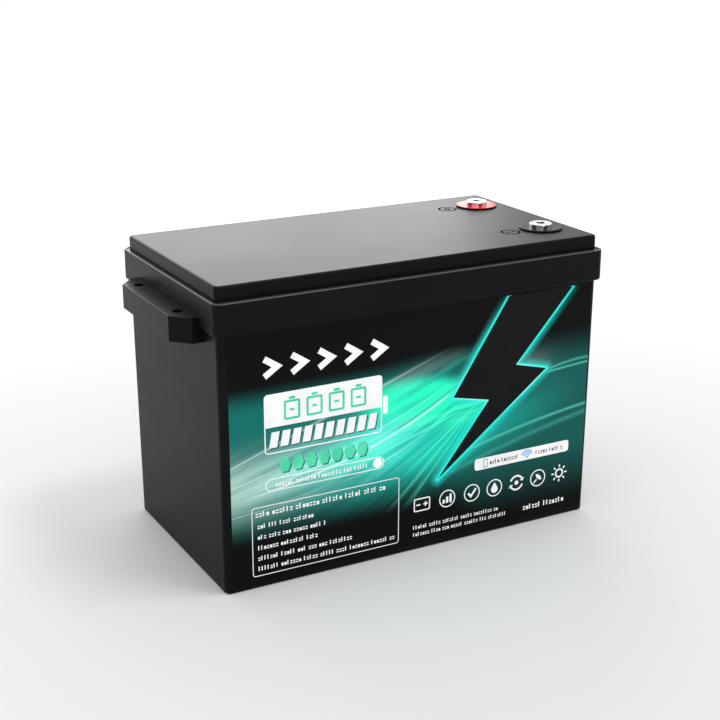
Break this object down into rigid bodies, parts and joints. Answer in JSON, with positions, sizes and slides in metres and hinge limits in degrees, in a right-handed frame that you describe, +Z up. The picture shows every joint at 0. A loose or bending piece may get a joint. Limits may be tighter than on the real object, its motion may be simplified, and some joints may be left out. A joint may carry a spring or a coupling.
{
  "type": "deep cycle battery",
  "caption": "Deep cycle lithium battery in a black moulded case with rope lugs, bonded lid, plated terminals and a printed label.",
  "frame": {"origin": "middle of the base, on the surface that the battery stands on", "axes": "+X along the length towards the terminals, +Y from the labelled front to the back, +Z up"},
  "size_m": [0.3908, 0.2002, 0.256],
  "materials": {
    "case_black": "satin, fine moulding texture",
    "lid_black": "satin, fine moulding texture",
    "seal_rubber": "matt",
    "terminal_plating": "bright nickel plate, turned",
    "disc_red": "gloss",
    "disc_black": "gloss",
    "label_print": "printed film, semi-gloss",
    "cell_film": "shrink film over an aluminium can",
    "black_plastic": "matt",
    "aluminium": "milled",
    "board_epoxy": "glass epoxy sheet",
    "steel": "zinc plate",
    "copper": "bare copper",
    "board_green": "solder mask",
    "thermal_grey": "soft thermal pad",
    "tinned_copper": "tin plate",
    "wire_black": "silicone sleeve",
    "wire_red": "silicone sleeve",
    "wire_white": "silicone sleeve",
    "plug_white": "nylon",
    "foam_grey": "closed-cell foam"
  },
  "bodies": {
    "root": {"container": "case_black", "rope_lug_left": "case_black", "rope_lug_right": "case_black", "lid": "lid_black", "lid_seal": "seal_rubber", "terminal_post_positive": "terminal_plating", "terminal_post_negative": "terminal_plating", "terminal_disc_positive": "disc_red", "terminal_disc_negative": "disc_black", "terminal_o_rings": "seal_rubber", "terminal_washers": "steel", "terminal_lock_nuts": "steel", "front_label": "label_print", "rear_label": "label_print", "cell_1": "cell_film", "cell_2": "cell_film", "cell_3": "cell_film", "cell_4": "cell_film", "cell_gaskets": "black_plastic", "cell_poles": "aluminium", "cell_vents": "aluminium", "cell_sheets": "board_epoxy", "side_sheets": "board_epoxy", "end_plate_left": "board_epoxy", "end_plate_right": "board_epoxy", "clamp_bands": "steel", "band_clips": "steel", "series_busbars": "copper", "busbar_nuts": "steel", "bms_bracket": "aluminium", "bracket_spacers": "steel", "bracket_screws": "steel", "bms_board": "board_green", "board_spacers": "steel", "board_screws": "steel", "bms_transistors": "black_plastic", "thermal_pad": "thermal_grey", "heat_sink": "aluminium", "bms_shunts": "copper", "bms_capacitors": "aluminium", "wireless_module": "aluminium", "power_tabs": "copper", "tab_bolts": "steel", "cable_lugs": "tinned_copper", "link_cable": "wire_black", "negative_cable": "wire_black", "positive_cable": "wire_red", "sense_harness": "wire_white", "sense_tags": "tinned_copper", "sense_plug": "plug_white", "temperature_sensor": "black_plastic", "sensor_lead": "wire_black", "sensor_plug": "plug_white", "bottom_pad": "foam_grey", "end_pad": "foam_grey", "foam_spacer": "foam_grey", "top_board": "board_epoxy", "top_pad": "foam_grey"}
  },
  "joints": []
}
